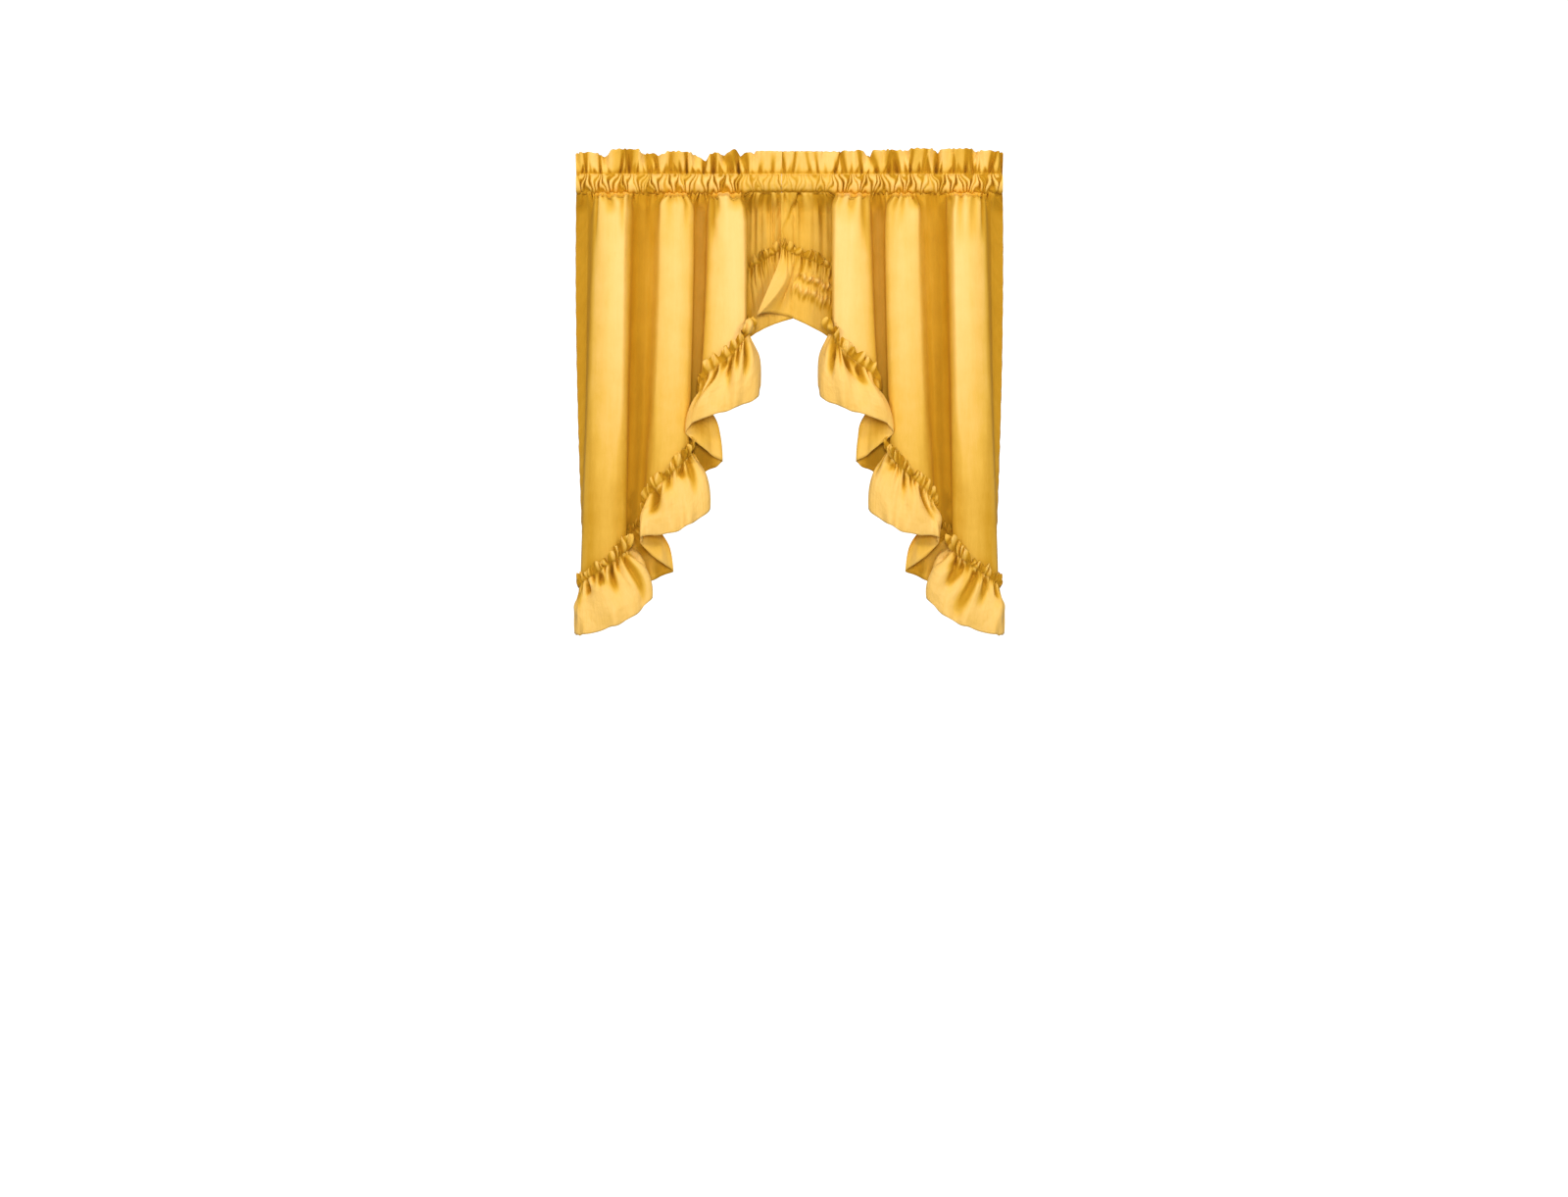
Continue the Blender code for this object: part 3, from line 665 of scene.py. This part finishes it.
SMALL_NIPS = Creasing(pitch=0.0078, width=0.0012, reach=1.0, depth=0.0070)
LOBE_STARTS = (0.200, 0.390, 0.580)
KNOTS = (0.212, 0.404, 0.582)
# Places where the cascades tuck under the lobes, darkened with painted shade.
LOBE_SHADE_PLACES = (0.292, 0.490)
frill_rows = np.linspace(1.0, 0.0, 12)[:-1]
body_rows = np.linspace(0.0, 1.0, 34)
ruffle_cloth = satin("ruffle_satin", 0.0026, rows=(0.0, RUFFLE_DEPTH - 0.005))

for name, half in halves.items():
    cloth = np.linspace(0.0, PANEL_WIDTH, RUFFLE_COLUMNS)
    seam = half.lines["seam"](cloth)
    loose = half.lines["loose"](cloth)
    hems = table_curves(CENTRE_HEM[name] + HEM_LINES, "cloth")
    outwards = half.way_out(cloth, seam)
    stitch = half.panel_points(cloth, seam) + outwards * SEWN_CLEAR
    hem = np.stack([hems[key](cloth) for key in ("out", "fwd", "z")], axis=-1)
    lobe_sides = sum(hump(cloth, place, 0.012) for place in LOBE_STARTS)
    puff = RUFFLE_PUFF * loose + LOBE_PUFF * lobe_sides
    leave = stitch + outwards * puff[:, None]
    leave = leave + np.stack((hems["leave"](cloth), 0 * cloth, 0 * cloth - RUFFLE_LEAVE), axis=-1)
    hang = RUFFLE_HANG + 0.040 * (1.0 - loose)
    arrive = hem + np.stack((hems["arrive"](cloth), 0 * cloth, hang), axis=-1)
    t = body_rows[:, None, None]
    body = (1 - t) ** 3 * stitch + 3 * (1 - t) ** 2 * t * leave
    body = body + 3 * (1 - t) * t * t * arrive + t**3 * hem
    normals = surface_normals(body, outwards)
    seed = RUFFLE_SEEDS[name]
    gathers = scatter_creases(RUFFLE_GATHERS, seed, 0.0, PANEL_WIDTH)
    folds = scatter_creases(RUFFLE_FOLDS, seed + 1, 0.0, PANEL_WIDTH)
    nips = scatter_creases(WIDE_NIPS, seed + 2, 0.0, PANEL_WIDTH)
    nips += scatter_creases(SMALL_NIPS, seed + 3, 0.0, PANEL_WIDTH)
    run = body_rows[:, None]
    nip = crease_depth(nips, cloth, 0.0)
    free = np.minimum(loose + 0.15, 1.0)
    free = mix(free, 1.0, 0.6 * smoothstep((run - 0.3) / 0.3))
    past_centre = 0.15 + 0.85 * smoothstep((cloth - 0.080) / 0.030)
    gather = crease_depth(gathers, cloth, run)
    gather = gather + crease_depth(folds, cloth, run) * smoothstep(run / 0.10) * past_centre
    billow = BILLOW * uneven_wave(cloth, 0.036) * np.sin(math.pi * run**0.7) * past_centre
    lip = LIP * uneven_wave(cloth, 0.023, 0.7) * smoothstep((run - 0.60) / 0.40) * past_centre
    fan = (0.0030 - 0.7 * nip) * smoothstep(run / 0.04) * np.exp(-run / 0.16)
    tucked = smoothstep((cloth - 0.034) / 0.014) * (1.0 - smoothstep((cloth - 0.096) / 0.014))
    tucked = tucked * (1.0 + 0.9 * uneven_wave(cloth, 0.0062)) * (name == "right")
    wander = run + 0.035 * uneven_wave(cloth, 0.021)
    tuck = TUCK_HEIGHT * (hump(wander, 0.36, 0.050) + 0.8 * hump(wander, 0.60, 0.060)) * tucked
    # Painted shade just below each row of tucks.
    shade_below_tuck = (hump(wander, 0.45, 0.040) + hump(wander, 0.70, 0.050)) * tucked
    rise = (billow + 0.005 * np.sin(math.pi * run) + fan - gather) * free + lip + tuck
    body = body + normals * rise[..., None]
    body[..., 2] += 0.0014 * uneven_wave(cloth, 0.021, 2.0) * run**3 * past_centre

    knot = sum(hump(cloth, place, 0.016) for place in KNOTS)
    tall = FRILL_HEIGHT * (1.10 + 0.35 * uneven_wave(cloth, 0.041) - 55.0 * nip + 0.7 * knot)
    tall = tall * (1.0 - 0.45 * hump(cloth, 0.150, 0.035))
    lean_end = smoothstep((PANEL_WIDTH - cloth) / 0.03)
    frill, frill_shaded = [], []
    for climb in frill_rows:
        along = cloth + climb * (0.006 * lean_end + 0.0022 * uneven_wave(cloth, 0.017, 1.1))
        level = seam + tall * climb
        base = half.panel_points(along, level) + half.way_out(along, level) * SEWN_CLEAR
        crinkle = crease_depth(nips, cloth + 0.003 * climb * uneven_wave(cloth, 0.045), 0.0)
        puffed = SMALL_FRILL_PUFF + 0.0036 * uneven_wave(cloth, 0.033)
        puffed = puffed + 0.0034 * uneven_wave(cloth + 0.006 * climb, 0.0064)
        curled = climb**0.4 * (1.0 - (0.35 + 0.25 * uneven_wave(cloth, 0.027, 2.3)) * climb**3)
        stand = (puffed - crinkle) * curled * np.minimum(loose + 0.4, 1.0) * (1 + 1.2 * knot)
        frill.append(base + half.way_out(along, level) * np.maximum(stand, 0.0)[:, None])
        # Painted shade in the frill's crinkles, where it puffs less, low at its foot, and from each
        # panel line's painted shade.
        fold_shade = np.minimum(crinkle / 0.0038, 1.0) + 60.0 * np.maximum(0.0090 - puffed, 0.0)
        fold_shade = fold_shade + 0.45 * (1 - climb) ** 2
        frill_shaded.append(0.05 + fold_shade + 0.7 * half.lines["kept"](cloth))
    ruffle_points = np.concatenate((np.array(frill), body))
    down = np.concatenate((-frill_rows * FRILL_HEIGHT, body_rows * RUFFLE_DEPTH))[:, None]
    # Painted shade where the ruffle lies back, in its creases, under the lobes, just below the
    # stitching and below the tucks; the tucks' ridges get a painted highlight.
    recess_shade = smoothstep((0.022 - body[..., 1]) / 0.040) * (0.2 + 0.7 * past_centre)
    crease_shade = np.clip((gather * mix(free, 1.0, 0.5) - 0.0035) / 0.0080, 0.0, 0.8)
    shade_under_lobe = sum(hump(cloth, place, 0.008) for place in LOBE_SHADE_PLACES)
    crease_shade = crease_shade + 0.6 * shade_under_lobe * (1.0 - 0.6 * smoothstep((run - 0.8) / 0.2)) + 0.10
    crease_shade = crease_shade + (0.15 + nip / 0.0080) * np.exp(-run / 0.10)
    crease_shade = crease_shade + 0.35 * shade_below_tuck - 30.0 * tuck
    shaded = np.concatenate((np.array(frill_shaded), recess_shade + crease_shade))
    across = cloth[None, :] * RUFFLE_FULLNESS
    ruffle = cloth_sheet(f"{name}_ruffle_cloth", half.place(ruffle_points), across, down, shaded)
    ruffle.data.materials.append(ruffle_cloth)
    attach(ruffle, "root")
    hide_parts(f"{name}_ruffle")

# ---------------------------------------------------------------------------------------------
# Studio. A plain pale floor that turns up into a backdrop, soft light from the front and above,
# and a level camera straight in front of the swag.

METRES_PER_PIXEL = 0.001953
PHOTO_WIDTH, PHOTO_HEIGHT = 1600, 1221
SWAG_MIDDLE_PIXEL = 805.5
POCKET_AXIS_PIXEL = 187.0
CAMERA_DISTANCE = 8.0
FRAME_WIDTH = PHOTO_WIDTH * METRES_PER_PIXEL
aim_x = (PHOTO_WIDTH / 2 - SWAG_MIDDLE_PIXEL) * METRES_PER_PIXEL
aim_z = (POCKET_AXIS_PIXEL - PHOTO_HEIGHT / 2) * METRES_PER_PIXEL

FLOOR = -2.25
STUDIO_RADIUS = 12.0
STUDIO_TOP = 9.0
COVE = 2.5
COVE_STEPS = 12
AROUND = 72
profile = [(0.01, FLOOR), (STUDIO_RADIUS - COVE, FLOOR)]
for k in range(1, COVE_STEPS + 1):
    angle = math.pi / 2 * k / COVE_STEPS
    radius = STUDIO_RADIUS - COVE + COVE * math.sin(angle)
    profile.append((radius, FLOOR + COVE * (1.0 - math.cos(angle))))
profile.append((STUDIO_RADIUS, STUDIO_TOP))
verts = []
for radius, z in profile:
    for k in range(AROUND):
        angle = 2 * math.pi * k / AROUND
        verts.append((radius * math.cos(angle), radius * math.sin(angle), z))
faces = []
for ring in range(len(profile) - 1):
    for k in range(AROUND):
        low, following = ring * AROUND, (k + 1) % AROUND
        faces.append((low + k, low + following, low + AROUND + following, low + AROUND + k))
floor_mesh = bpy.data.meshes.new("studio_floor")
floor_mesh.from_pydata(verts, [], faces)
floor_mesh.shade_smooth()
floor = bpy.data.objects.new("studio_floor", floor_mesh)
bpy.context.scene.collection.objects.link(floor)
paper = Shader("studio_paper")
paper.surface.inputs["Base Color"].default_value = (0.90, 0.90, 0.90, 1.0)
paper.surface.inputs["Roughness"].default_value = 0.9
paper.surface.inputs["Emission Color"].default_value = (1.0, 1.0, 1.0, 1.0)
paper.surface.inputs["Emission Strength"].default_value = 0.85
floor.data.materials.append(paper.material)
floor.visible_diffuse = False
floor.visible_glossy = False

Lamp = namedtuple("Lamp", "name place size watts")
LAMPS = (
    Lamp("front_softbox", (0.0, -8.8, 0.6), 2.2, 360.0),
    Lamp("left_softbox", (-2.0, -2.2, 1.0), 0.6, 34.0),
    Lamp("right_softbox", (2.0, -2.2, 1.0), 0.6, 34.0),
    Lamp("back_softbox", (0.0, 6.0, 1.5), 2.0, 200.0),
)
LIT = (0.0, 0.0, -0.4)
for lamp in LAMPS:
    light = bpy.data.lights.new(lamp.name, "AREA")
    light.shape = "SQUARE"
    light.size = lamp.size
    light.energy = lamp.watts
    holder = bpy.data.objects.new(lamp.name, light)
    bpy.context.scene.collection.objects.link(holder)
    holder.location = lamp.place
    away = np.array(lamp.place) - np.array(LIT)
    level = math.hypot(away[0], away[1])
    holder.rotation_euler = (math.atan2(level, away[2]), 0.0, math.atan2(away[0], -away[1]))

world = bpy.data.worlds.new("studio")
world.use_nodes = True
background = world.node_tree.nodes["Background"]
background.inputs["Color"].default_value = (1.0, 0.985, 0.96, 1.0)
background.inputs["Strength"].default_value = 0.33
bpy.context.scene.world = world
bpy.context.scene.view_settings.view_transform = "Standard"

camera_data = bpy.data.cameras.new("camera")
camera_data.sensor_width = 36.0
camera_data.lens = 36.0 * CAMERA_DISTANCE / FRAME_WIDTH
camera = bpy.data.objects.new("camera", camera_data)
bpy.context.scene.collection.objects.link(camera)
camera.location = (aim_x, -CAMERA_DISTANCE, aim_z)
camera.rotation_euler = (math.pi / 2, 0.0, 0.0)
bpy.context.scene.camera = camera
